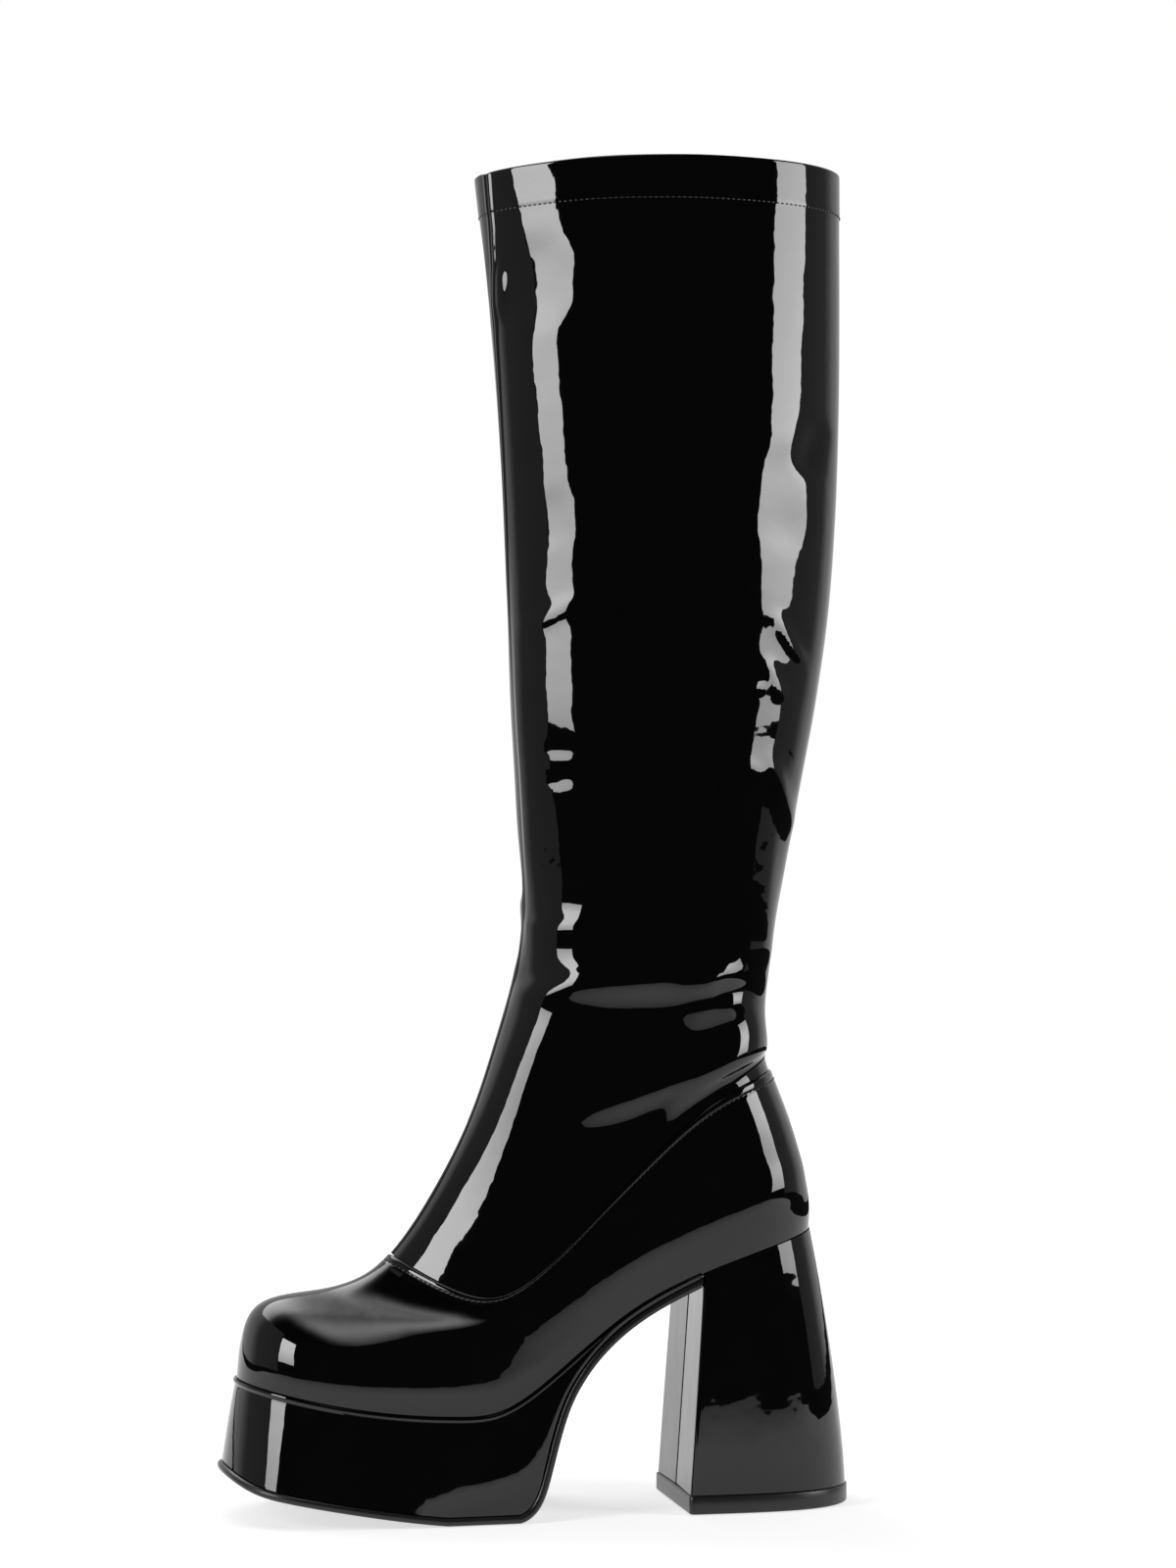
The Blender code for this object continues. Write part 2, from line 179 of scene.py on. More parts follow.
# Loops round the leg: front, back and their heights in percent of the sole length and the
# shaft height, half-width in percent of half the calf width.
SHAFT_LOOPS = (
    # loop, front, back, height in front, height at the back, five half-widths
    ("low ankle", 43.3, 86.6, 34.6, 38.5, 34, 66, 75, 69, 40),
    ("ankle", 46.9, 87.5, 40.8, 41.9, 34, 68.5, 79, 70, 38),
    ("high ankle", 47.8, 89.7, 47.1, 47.3, 31, 71, 84, 73, 37),
    ("shin", 47.0, 92.7, 54.8, 54.8, 33, 74, 90, 77, 39),
    ("low calf", 45.6, 96.7, 65.4, 65.4, 35, 79, 95, 83, 42),
    ("calf", 44.3, 98.5, 76.9, 76.9, 37, 82, 99, 86, 43),
    ("high calf", 42.5, 99.0, 88.5, 88.5, 37, 83, 100, 86, 43),
    ("collar", 39.9, 99.0, 99.9, 100.8, 37, 83, 100, 86, 43),
)

RISE_STATIONS = np.array([0.0, 0.2, 0.4, 0.6, 0.8, 1.0])
WIDTH_STATIONS = np.array([0.05, 0.25, 0.5, 0.75, 0.95])

# Middle of the foot seen from above: the toe swings inwards, the waist outwards.
CENTRE_STATIONS = np.array([0.0, 0.2, 0.4, 0.6, 0.8, 1.0])
CENTRE_SHIFT = np.array([4.0, 5.4, 3.2, -1.1, 0.0, 0.0])


def spline(knots, values, at):
    """Natural cubic spline through the values at the knots, sampled at the points in at."""
    knots = np.asarray(knots, float)
    values = np.asarray(values, float)
    at = np.asarray(at, float)
    step = np.diff(knots)
    slope = np.diff(values, axis=0) / step.reshape((-1,) + (1,) * (values.ndim - 1))
    count = len(knots)
    system = np.eye(count)
    right = np.zeros_like(values)
    for i in range(1, count - 1):
        system[i, i - 1 : i + 2] = step[i - 1], 2 * (step[i - 1] + step[i]), step[i]
        right[i] = 6 * (slope[i] - slope[i - 1])
    bend = np.linalg.solve(system, right.reshape(count, -1)).reshape(values.shape)
    left = np.clip(np.searchsorted(knots, at) - 1, 0, count - 2)
    shape = (-1,) + (1,) * (values.ndim - 1)
    over = (at - knots[left]).reshape(shape)
    span = step[left].reshape(shape)
    first = slope[left] - span * (2 * bend[left] + bend[left + 1]) / 6
    third = (bend[left + 1] - bend[left]) / (6 * span)
    return values[left] + over * (first + over * (bend[left] / 2 + over * third))


def foot_line(x):
    """Height of the bottom of the foot: platform, toe spring and rise to the heel added up."""
    knots = [row[1] for row in FOOT_LINE]
    lift = HEEL_HEIGHT - PLATFORM_HEIGHT
    heights = [PLATFORM_HEIGHT + TOE_SPRING * row[2] + lift * row[3] for row in FOOT_LINE]
    return spline(knots, heights, np.ravel(x)).reshape(np.shape(x))


def half_width(shares, full, angle):
    """Half-width round a loop: the sine of the angle, which closes both ends, times a spline."""
    along = (1 - np.cos(angle)) / 2
    ends = 2 * np.sqrt(WIDTH_STATIONS * (1 - WIDTH_STATIONS))
    return np.sin(angle) * spline(WIDTH_STATIONS, full / 200 * np.array(shares) / ends, along)


def loops(angle):
    """All loops at the given angles round the boot, as an array of loop, angle and x, y, z.

    Angle 0 is the front, pi the back, and the outer side of the foot lies between the two.
    """
    along = (1 - np.cos(angle)) / 2
    centre = spline(CENTRE_STATIONS, CENTRE_SHIFT, along)
    rows = []
    for _, front, back, *rest in FOOT_LOOPS:
        x = SOLE_LENGTH / 100 * (front + (back - front) * along)
        rise = INSTEP_RISE / 100 * spline(RISE_STATIONS, rest[:6], along)
        y = rest[11] * centre - half_width(rest[6:11], BALL_WIDTH, angle)
        rows.append(np.stack([x, y, foot_line(x) + rise], axis=-1))
    for _, front, back, z_front, z_back, *widths in SHAFT_LOOPS:
        x = SOLE_LENGTH / 100 * (front + (back - front) * along)
        z = SHAFT_HEIGHT / 100 * (z_back + (z_front - z_back) * (1 - along) ** 2)
        y = -half_width(widths, CALF_WIDTH, angle)
        rows.append(np.stack([x, y, z], axis=-1))
    return np.stack(rows)


def loop_levels():
    """Level of each loop: the mean way along the skin from the foot line up to it."""
    rows = loops(np.linspace(0, 2 * np.pi, 73)[:-1])
    ways = np.linalg.norm(np.diff(rows, axis=0), axis=2).mean(axis=1)
    return np.concatenate([[0.0], np.cumsum(ways)])


LEVELS = loop_levels()
SEAM = LEVELS[SEAM_LOOP]
COLLAR = LEVELS[-1]


def skin(level, angle):
    """Points of the boot's skin on a grid of level and angle, with their outward normals."""
    step = 0.01

    def at(levels, angles):
        return spline(LEVELS, loops(angles), levels)

    up = at(level + step, angle) - at(level - step, angle)
    around = at(level, angle + step) - at(level, angle - step)
    normal = np.cross(around, up)
    normal /= np.linalg.norm(normal, axis=2, keepdims=True)
    return at(level, angle), normal


# Folds of the leg in side view: middle, turn from level in degrees, half-length along the
# fold, half-width below and above its line, and how far it stands out or goes in.
FOLDS = (
    # fold, x, z, turn, length, low, high, out
    ("ankle roll", 157.0, 205.0, 2.5, 48.0, 7.0, 7.5, 3.1),
    ("heel roll", 173.0, 167.0, 18.5, 41.0, 7.0, 9.5, 3.4),
    ("small roll", 188.0, 194.0, 10.0, 15.0, 8.0, 4.0, 2.0),
    ("front dent", 117.0, 206.5, 0.0, 15.0, 6.0, 5.0, -1.9),
    ("back roll", 206.0, 217.5, 0.0, 10.0, 6.0, 40.0, 1.3),
    ("shin fold", 128.0, 225.5, 0.0, 14.0, 10.0, 4.5, 1.6),
    ("roll pucker", 180.0, 200.0, 12.0, 9.0, 6.0, 6.0, 1.2),
    ("shin bulge", 130.0, 300.0, 0.0, 30.0, 45.0, 45.0, 2.2),
    ("shin overhang", 130.0, 255.0, 0.0, 24.0, 22.0, 22.0, 1.0),
    ("collar bulge", 142.0, 508.0, 90.0, 26.0, 18.0, 18.0, 1.5),
    ("shin dent", 116.0, 475.0, 90.0, 16.0, 16.0, 16.0, -1.2),
    ("shin spot", 106.3, 473.5, 90.0, 10.0, 2.0, 2.0, 1.1),
    ("shin side bulge", 150.0, 475.0, 90.0, 16.0, 20.0, 20.0, 1.9),
    ("shin rib", 126.0, 411.0, 90.0, 24.0, 10.0, 10.0, 0.4),
    ("mid dent", 121.0, 383.0, 90.0, 10.0, 10.0, 10.0, -0.4),
    ("shin crease", 126.5, 347.0, 27.0, 12.0, 4.0, 4.0, 0.5),
    ("shin dimple", 129.0, 294.5, 0.0, 5.0, 4.5, 4.5, -0.3),
    ("low dimple", 129.5, 283.0, 20.0, 4.5, 4.0, 4.0, -0.3),
    ("calf dent", 215.0, 392.0, 90.0, 18.0, 12.0, 12.0, -1.0),
    ("low calf dent", 222.0, 352.0, 90.0, 34.0, 15.0, 15.0, -1.8),
    ("calf spot", 229.0, 413.0, 65.0, 10.0, 6.0, 6.0, -1.8),
    ("back crease", 219.0, 338.0, -52.0, 11.0, 4.5, 2.6, 0.9),
    ("low crease", 212.5, 322.0, -60.0, 8.0, 4.5, 2.4, 0.7),
    ("side nick", 201.5, 318.0, 0.0, 5.0, 2.5, 2.5, 0.5),
    ("back spot", 203.0, 286.0, -30.0, 6.0, 4.0, 4.0, 0.7),
    ("back fold", 217.0, 278.0, -63.0, 16.0, 4.0, 4.0, 1.0),
)

# Slow swell of leather that hangs free: wave lengths along x and z and height of each wave.
SWELLS = (
    # x, z, out
    (60.0, 210.0, 0.14),
    (-45.0, 150.0, 0.10),
    (34.0, -110.0, 0.05),
)

FOLD_TURN = 0.35  # sideways part of the normal from which a fold has its full height
FOLD_FADE = 10.0  # way up from the foot panel in which the folds grow
INNER_LIFT = 8.0  # how much higher the folds lie on the inner side


def folds(points, normals):
    """Stand-out of folds and swell: each fold a bell along and across its line in side view.

    The inner side has the folds of the outer side, a little higher up.
    """
    out = 0
    for side, lift in ((-1, 0.0), (1, INNER_LIFT)):
        faces = np.clip(side * normals[..., 1] / FOLD_TURN, 0, 1)
        for _, x, z, turn, length, low, high, proud in FOLDS:
            turn = np.radians(turn)
            over = points[..., 0] - x
            up = points[..., 2] - z - lift
            along = (over * np.cos(turn) + up * np.sin(turn)) / length
            across = up * np.cos(turn) - over * np.sin(turn)
            across = across / np.where(across < 0, low, high)
            out = out + faces * proud * np.exp(-(along**4) - across**2)
        for x, z, proud in SWELLS:
            wave = np.sin(2 * np.pi * (points[..., 0] / x + points[..., 2] / z) + side)
            out = out + faces * proud * wave
    return out


def draped(levels, angles):
    """Skin with the folds of the leg, which die out at the foot panel, and its normals."""
    points, normals = skin(levels, angles)
    free = 1 - np.exp(-((np.clip(levels - SEAM, 0, None) / FOLD_FADE) ** 2))
    return points + normals * (folds(points, normals) * free[:, None])[:, :, None], normals


def grid_quads(index):
    """Quads between neighbours in a grid of vertex numbers, over its last two axes."""
    quads = [index[..., :-1, :-1], index[..., :-1, 1:], index[..., 1:, 1:], index[..., 1:, :-1]]
    return np.stack(quads, axis=-1).reshape(-1, 4)


SAME_POINT = 1e-7  # metres
SHARP_EDGE = 55.0  # degrees


def add_piece(name, points, quads, material):
    """Smooth mesh from points in table millimetres and quads, riding on the boot's one body."""
    mesh = bpy.data.meshes.new(name)
    mesh.vertices.add(points.size // 3)
    mesh.vertices.foreach_set("co", np.ravel((points - ORIGIN) / 1000))
    mesh.loops.add(quads.size)
    mesh.loops.foreach_set("vertex_index", np.ravel(quads))
    mesh.polygons.add(len(quads))
    mesh.polygons.foreach_set("loop_start", np.arange(0, quads.size, 4))
    mesh.update(calc_edges=True)
    bm = bmesh.new()
    bm.from_mesh(mesh)
    bmesh.ops.remove_doubles(bm, verts=bm.verts, dist=SAME_POINT)
    bmesh.ops.dissolve_degenerate(bm, edges=bm.edges, dist=SAME_POINT)
    bm.to_mesh(mesh)
    bm.free()
    mesh.shade_smooth()
    mesh.set_sharp_from_angle(angle=np.radians(SHARP_EDGE))
    mesh.materials.append(material)
    piece = bpy.data.objects.new(name, mesh)
    bpy.context.scene.collection.objects.link(piece)
    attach(piece, "root")
    return piece


def lay_mesh(name, points, material, wrap_rows=False):
    """Mesh over a grid of points in table millimetres, one quad between four neighbours.

    Rows run up the piece and columns round it, so its faces point outwards. A row or column
    that has shrunk to one point closes an end.
    """
    rows, columns = points.shape[:2]
    index = np.arange(rows * columns).reshape(rows, columns)
    if wrap_rows:
        index = np.concatenate([index, index[:1]])
    index = np.concatenate([index, index[:, :1]], axis=1)
    return add_piece(name, points, grid_quads(index), material)


lining_rows = np.linspace(LINING_FOOT, COLLAR - HEM_DEPTH + LINING_LAP, 150)
lining_angles = np.linspace(0, 2 * np.pi, 160, endpoint=False)
points, normals = draped(lining_rows, lining_angles)
back = points - normals * (SHAFT_WALL - LINING_THICK)
face = points - normals * SHAFT_WALL
shell = np.concatenate([back, face[::-1]])
lay_mesh("lining", shell, cloth, wrap_rows=True)

# Foot panel: vamp and counter in one piece of black patent leather, lasted over the insole.
# Its top edge is turned and overlaps the leg all round, and one row of stitches holds it.

PANEL_PROUD = 0.9
PANEL_EDGE = 1.1  # radius of the turned top edge
PANEL_FOOT = 0.1  # its lower edge over the foot line
STITCH_ROW = 3.0  # from the edge down to the row of stitches
STITCH_DRAW = 0.25  # how deep the stitches draw the leather in
STITCH_GROOVE = 0.55  # half-width of the groove that they draw
CLOSE_ROWS = 1.5  # rows of the mesh lie close from here below the stitches up
LEATHER_WALL = SHAFT_WALL - LINING_THICK - 0.05  # just clear of the lining

# Patent leather: black leather under a poured clear lacquer. The eye gets a deep black with
# a mirror over it, and the lacquer's faint swell of 12 mm bends the edges of reflections.
LACQUER_SWELL = 0.012
patent, tree, place = new_material("black patent leather")
swell = add_node(
    tree,
    "ShaderNodeTexNoise",
    {"Vector": place, "Scale": 1 / LACQUER_SWELL, "Detail": 2.0, "Roughness": 0.45},
)
grain = add_node(
    tree, "ShaderNodeBump", {"Height": (swell, "Fac"), "Distance": 0.00012, "Strength": 1.0}
)
tint = add_node(
    tree,
    "ShaderNodeMix",
    {"Factor": (swell, "Fac"), "A": linear("#030303"), "B": linear("#070707")},
    data_type="RGBA",
)
shader = add_node(
    tree,
    "ShaderNodeBsdfPrincipled",
    {
        "Base Color": (tint, 2),
        "Roughness": 0.45,
        "Specular IOR Level": 0.0,
        "Coat Weight": 1.0,
        "Coat Roughness": 0.025,
        "Coat IOR": 1.5,
        "Normal": (grain, 0),
        "Coat Normal": (grain, 0),
    },
)
close_material(tree, shader)

panel_angles = np.linspace(0, 2 * np.pi, 420, endpoint=False)
edge = np.linspace(0, np.pi / 2, 7)
panel_rows = np.concatenate([
    np.linspace(0, SEAM - STITCH_ROW - CLOSE_ROWS, 90)[:-1],
    np.linspace(SEAM - STITCH_ROW - CLOSE_ROWS, SEAM - GAP / 2 - PANEL_EDGE, 16)[:-1],
    SEAM - GAP / 2 - PANEL_EDGE * (1 - np.sin(edge)),
])
from_stitches = panel_rows - SEAM + STITCH_ROW
panel_proud = PANEL_PROUD - STITCH_DRAW * np.exp(-((from_stitches / STITCH_GROOVE) ** 2))
panel_proud[-len(edge) :] -= PANEL_EDGE * (1 - np.cos(edge))
points, normals = skin(panel_rows, panel_angles)
outside = points + normals * panel_proud[:, None, None]
outside[0, :, 2] = foot_line(outside[0, :, 0]) + PANEL_FOOT
inner_rows = np.linspace(panel_rows[-1], 0, 24)
points, normals = skin(inner_rows, panel_angles)
inside = points - normals * LEATHER_WALL
inside[-1, :, 2] = foot_line(inside[-1, :, 0]) + PANEL_FOOT
panel = lay_mesh(
    "foot_panel", np.concatenate([outside, inside]), patent, wrap_rows=True
)
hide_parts("upper")

# Shaft: the leg of patent leather, closed with a raised seam down the front. At the collar
# it is turned in to a hem 17 mm deep. It has fallen into soft folds at the ankle.

HEM_PROUD = 0.2
HEM_STEP = 0.7  # half-width of the step at the hem's edge
HEM_STITCH_ROW = 0.4  # from the edge up to the row of stitches
HEM_DRAW = 0.12  # how deep these stitches draw the leather in
HEM_CLOSE_ROWS = 3.0  # rows of the mesh lie close from here below the hem up
FACING_STEP = 1.0  # way in which the turned hem thins to the single leather
RIDGE_PROUD = 0.65
RIDGE_HALF = 1.8
RIDGE_GROOVE = 0.3
RIDGE_GROOVE_HALF = 0.6
RIM = 0.8  # radius of the rolled collar
FRONT_CROWD = 0.7  # how much closer the columns of the mesh lie at the front seam

# Way of the front seam from the middle to the outer side, by height over the floor.
SEAM_HEIGHTS = (200.0, 360.0, 402.0, 440.0, 470.0, 485.0, 497.0, 521.0)
SEAM_SHIFTS = (0.0, 0.5, 2.5, 3.6, 4.4, 6.8, 8.8, 10.0)


def leg_skin(levels, angles):
    """Skin of the leg with its hem, front seam and folds, moved along the normals.

    The front seam is a rounded ridge with a fine groove where the two edges meet. The hem
    stands proud over its stitch line, which draws the leather in.
    """
    step = 0.01
    points, normals = draped(levels, angles)
    near = np.where(angles > np.pi, angles - 2 * np.pi, angles)
    ends = skin(levels, np.array([-step, step]))[0]
    reach = np.linalg.norm(ends[:, 1] - ends[:, 0], axis=1) / (2 * step)
    shift = np.interp(points[:, 0, 2], SEAM_HEIGHTS, SEAM_SHIFTS)
    across = reach[:, None] * near[None, :] - shift[:, None]
    ridge = RIDGE_PROUD * np.exp(-((across / RIDGE_HALF) ** 4))
    ridge -= RIDGE_GROOVE * np.exp(-((across / RIDGE_GROOVE_HALF) ** 2))
    below = (COLLAR - HEM_DEPTH - levels)[:, None]
    hem = HEM_PROUD * (1 - np.tanh(below / HEM_STEP)) / 2
    hem -= HEM_DRAW * np.exp(-(((below + HEM_STITCH_ROW) / HEM_STEP) ** 2))
    return points + normals * (ridge + hem)[:, :, None]


turn = np.linspace(0, 2 * np.pi, 260, endpoint=False)
leg_angles = turn - FRONT_CROWD * np.sin(turn)
hem_rows = COLLAR - HEM_DEPTH + np.linspace(-HEM_CLOSE_ROWS, HEM_DEPTH - RIM, 36)
leg_rows = np.concatenate([np.linspace(SEAM + GAP / 2, hem_rows[0], 270)[:-1], hem_rows])
outside = leg_skin(leg_rows, leg_angles)
rolls = []
for bend in np.linspace(0, np.pi, 9)[1:-1]:
    points, normals = draped(np.array([COLLAR - RIM + RIM * np.sin(bend)]), leg_angles)
    depth = HEM_PROUD - (HEM_PROUD + SHAFT_WALL) / 2 * (1 - np.cos(bend))
    rolls.append(points + normals * depth)
facing = np.linspace(COLLAR - RIM, COLLAR - HEM_DEPTH, 8)
points, normals = draped(facing, leg_angles)
turned = points - normals * SHAFT_WALL
behind = np.linspace(COLLAR - HEM_DEPTH - FACING_STEP, SEAM + GAP / 2, 50)
points, normals = draped(behind, leg_angles)
hidden = points - normals * LEATHER_WALL
shaft = lay_mesh(
    "shaft",
    np.concatenate([outside, *rolls, turned, hidden]),
    patent,
    wrap_rows=True,
)
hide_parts("shaft")

# Stitches: black bonded thread, in one row round the hem and one along the panel's edge.
# Each stitch is a short stretch of thread that dips into its holes at both ends.

STITCH_PITCH = 2.2
STITCH_LENGTH = 1.6
STITCH_ARCH = 0.22  # rise of its middle over its ends
STITCH_SINK = 0.08  # how deep its ends lie in their holes
STITCH_AHEAD = 0.5  # how far ahead on the path its direction is taken
THREAD = 0.27  # radius

# Twisted thread, waxed: the eye gets a row of dull black dashes with a slight shine. Its
# twist of 0.5 mm is drawn at 0.8 mm.
TWIST = 0.0008
thread, tree, place = new_material("bonded polyester thread")
twist = add_node(tree, "ShaderNodeTexNoise", {"Vector": place, "Scale": 1 / TWIST})
rise = add_node(
    tree, "ShaderNodeBump", {"Height": (twist, "Fac"), "Distance": 0.0001, "Strength": 0.6}
)
tint = add_node(
    tree,
    "ShaderNodeMix",
    {"Factor": (twist, "Fac"), "A": linear("#141414"), "B": linear("#282828")},
    data_type="RGBA",
)
shader = add_node(
    tree,
    "ShaderNodeBsdfPrincipled",
    {"Base Color": (tint, 2), "Roughness": 0.35, "Normal": (rise, 0)},
)
close_material(tree, shader)


def sew(name, path, normals):
    """Row of stitches along a closed path: a small arched tube every stitch pitch.

    The path is cut at equal lengths. Each tube is an array of rings carried along the
    path's direction, thinner at both ends, its middle higher than its ends.
    """
    ways = np.linalg.norm(np.roll(path, -1, axis=0) - path, axis=1)
    way = np.concatenate([[0], np.cumsum(ways)])

    def on_path(values, at):
        closed = np.concatenate([values, values[:1]])
        return np.stack([np.interp(at, way, closed[:, k]) for k in range(3)], axis=1)

    count = int(way[-1] / STITCH_PITCH)
    at = (np.arange(count) + 0.5) * way[-1] / count
    middle = on_path(path, at)
    up = on_path(normals, at)
    ahead = on_path(path, at + STITCH_AHEAD) - middle
    ahead /= np.linalg.norm(ahead, axis=1, keepdims=True)
    side = np.cross(up, ahead)
    side /= np.linalg.norm(side, axis=1, keepdims=True)
    share = np.linspace(-1, 1, 7)[:, None]
    ring = np.linspace(0, 2 * np.pi, 7)[None, :-1]
    thick = THREAD * np.sqrt(np.clip(1 - share**6, 0, 1))
    along = STITCH_LENGTH / 2 * share + 0 * ring
    wide = thick * np.cos(ring)
    lift = thick * np.sin(ring) + STITCH_ARCH * (1 - share**2) - STITCH_SINK
    tube = (
        middle[:, None, None]
        + ahead[:, None, None] * along[None, :, :, None]
        + side[:, None, None] * wide[None, :, :, None]
        + up[:, None, None] * lift[None, :, :, None]
    )
    index = np.arange(tube[..., 0].size).reshape(tube.shape[:3])
    index = np.concatenate([index, index[:, :, :1]], axis=2)
    return add_piece(name, tube, grid_quads(index), thread)


row_angles = np.linspace(0, 2 * np.pi, 720, endpoint=False)
hem_line = COLLAR - HEM_DEPTH + HEM_STITCH_ROW
normals = skin(np.array([hem_line]), row_angles)[1][0]
sew("hem_stitches", leg_skin(np.array([hem_line]), row_angles)[0], normals)
points, normals = skin(np.array([SEAM - STITCH_ROW]), row_angles)
sew("panel_stitches", points[0] + normals[0] * (PANEL_PROUD - STITCH_DRAW), normals[0])

# Platform: a block of light foam wrapped in patent leather. The wrap is folded to a rim
# along the top edge, under the foot panel, and its wall flares out to the outsole.

OUTSOLE_THICK = 3.2
BREAST = 184.4  # front of the heel seat
TAIL_SHORT = 1.2  # from the end of the platform's tail to the heel seat
LOW_WALL = 12.0  # where the wall is lower than this, its rim and bulge shrink with it
LEAST_RIM = 0.15  # share that is left of them at the tail

# Underside of the outsole. Where the line dips below the floor it is pressed flat.
SOLE_LINE = (
    # station, x, z
    ("toe tip", -1.0, 18.5),
    ("toe", 9.0, 13.0),
    ("toe spring", 22.0, 9.6),
    ("joint", 44.0, 5.8),
    ("tread front", 70.0, 1.6),
    ("tread", 92.0, -0.8),
    ("tread back", 108.0, -0.6),
    ("corner", 116.5, 3.2),
    ("back foot", 121.3, 11.5),
    ("back", 125.4, 26.0),
    ("back top", 129.6, 39.5),
    ("arch", 135.5, 51.2),
    ("waist", 147.0, 64.8),
    ("shank", 164.0, 77.0),
    ("breast", 184.5, 87.0),
)

# Side of the platform: how far its foot stands out from the foot line's outline, and how far
# the wrap bulges over the foam.
PLATFORM_FLARE = (
    # x, out, bulge
    (8.0, 8.1, 0.2),
    (17.0, 10.0, 0.2),
    (32.0, 9.4, 0.3),
    (60.0, 7.4, 0.6),
    (100.0, 5.6, 1.7),
    (117.0, 4.5, 1.6),
    (130.0, 2.6, 0.8),
    (146.0, 1.5, 0.3),
    (184.0, 1.4, 0.2),
)

# Rim along the platform's top edge: drop below the edge and stand-out.
PLATFORM_RIM = (
    # row, drop, out
    ("lip", 0.0, 1.3),
    ("lip top", -0.8, 1.55),
    ("roll", -1.0, 1.85),
    ("rim", -0.6, 2.15),
    ("rim side", 0.1, 2.2),
    ("rim foot", 0.6, 2.0),
    ("groove", 1.0, 1.55),
    ("groove foot", 1.4, 1.6),
)


def outline(angle, out):
    """Foot line's outline at the angles, moved out in plan: outer and inner rows of x, y."""
    step = 0.001
    sides = []
    for turned_to in (angle, -angle):
        path = loops(turned_to)[0]
        ahead = loops(turned_to + step)[0] - loops(turned_to - step)[0]
        normal = np.stack([-ahead[:, 1], ahead[:, 0]], axis=1)
        normal /= -np.linalg.norm(normal, axis=1, keepdims=True)
        sides.append(path[:, :2] + normal * np.reshape(out, (-1, 1)))
    return sides


def sole_line(x):
    """Height and slope of the outsole's underside at x, pressed flat where it meets the floor."""
    step = 0.01
    knots = [row[1] for row in SOLE_LINE]
    heights = [row[2] for row in SOLE_LINE]
    height = spline(knots, heights, x)
    slope = (spline(knots, heights, x + step) - spline(knots, heights, x - step)) / (2 * step)
    flat = height <= 0
    return np.where(flat, 0.0, height), np.where(flat, 0.0, slope)


def over_sole(path, lift):
    """Points over the plan path, lifted square off the outsole's underside by lift."""
    height, slope = sole_line(path[:, 0])
    lean = lift / np.hypot(slope, 1)
    return np.stack([path[:, 0] - slope * lean, path[:, 1], height + lean], axis=1)


def close_ends(rings):
    """Rings with one more at each end, shrunk to the middle of the ring there."""
    first = np.broadcast_to(rings[:1].mean(axis=1, keepdims=True), rings[:1].shape)
    last = np.broadcast_to(rings[-1:].mean(axis=1, keepdims=True), rings[-1:].shape)
    return np.concatenate([first, rings, last])


foot_front, foot_back = (SOLE_LENGTH / 100 * share for share in FOOT_LOOPS[0][1:3])
tail_share = (BREAST - TAIL_SHORT - foot_front) / (foot_back - foot_front)
stations = np.linspace(0, np.arccos(1 - 2 * tail_share), 260)
station_x = foot_front + (foot_back - foot_front) * (1 - np.cos(stations)) / 2
flare, bulge = spline(
    [row[0] for row in PLATFORM_FLARE], [row[1:] for row in PLATFORM_FLARE], station_x
).T
feet = [over_sole(side, OUTSOLE_THICK + GAP) for side in outline(stations, flare)]
sides = []
for side in (0, 1):
    tops = outline(stations, PLATFORM_RIM[0][2])[side]
    depth = foot_line(tops[:, 0]) - GAP - feet[side][:, 2]
    fit = np.clip(depth / LOW_WALL, LEAST_RIM, 1)
    rows = []
    for _, drop, out in PLATFORM_RIM:
        plan = outline(stations, out)[side]
        rows.append(np.column_stack([plan, foot_line(plan[:, 0]) - GAP - drop * fit]))
    groove = rows[-1]
    bulged = outline(stations, bulge)[side] - outline(stations, 0.0)[side]
    bulged = np.column_stack([bulged, np.zeros(len(stations))]) * fit[:, None]
    for share in np.linspace(0, 1, 25)[1:]:
        crown = np.sin(np.pi * share) * bulged
        rows.append(groove + share * (feet[side] - groove) + crown)
    sides.append(np.stack(rows, axis=1))
# The two sides meet at the toe, so only the end at the heel is closed.
rings = np.concatenate([sides[1][:, ::-1], sides[0]], axis=1)
platform = lay_mesh("platform", close_ends(rings)[1:], patent)
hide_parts("platform")

# Outsole: a rubber sheet cemented under the platform, up its back and along the waist to
# the heel, with a rounded edge that stands out a little.

OUTSOLE_PROUD = 0.5
OUTSOLE_EDGE = 1.3  # depth of its rounded edge

# Moulded rubber, black and satin, with pores of about 1.2 mm: the eye gets soft grey edges
# and no mirror.
PORE = 0.0012
rubber, tree, place = new_material("moulded sole rubber")
pores = add_node(tree, "ShaderNodeTexNoise", {"Vector": place, "Scale": 1 / PORE, "Detail": 3.0})
rise = add_node(
    tree, "ShaderNodeBump", {"Height": (pores, "Fac"), "Distance": 0.0001, "Strength": 0.4}
)
tint = add_node(
    tree,
    "ShaderNodeMix",
    {"Factor": (pores, "Fac"), "A": linear("#0b0b0b"), "B": linear("#161616")},
    data_type="RGBA",
)
shader = add_node(
    tree,
    "ShaderNodeBsdfPrincipled",
    {"Base Color": (tint, 2), "Roughness": 0.32, "Normal": (rise, 0)},
)
close_material(tree, shader)

# Each ring runs up the inner edge and down the outer one.
rows = []
for side, way in ((1, 1), (0, -1)):
    for bend in np.linspace(-np.pi / 2, np.pi / 2, 11)[::way]:
        out = flare + OUTSOLE_PROUD - OUTSOLE_EDGE * (1 - np.cos(bend))
        lift = OUTSOLE_THICK / 2 * (1 + np.sin(bend))
        rows.append(over_sole(outline(stations, out)[side], lift))
outsole = lay_mesh("outsole", close_ends(np.stack(rows, axis=1))[1:], rubber)
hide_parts("outsole")

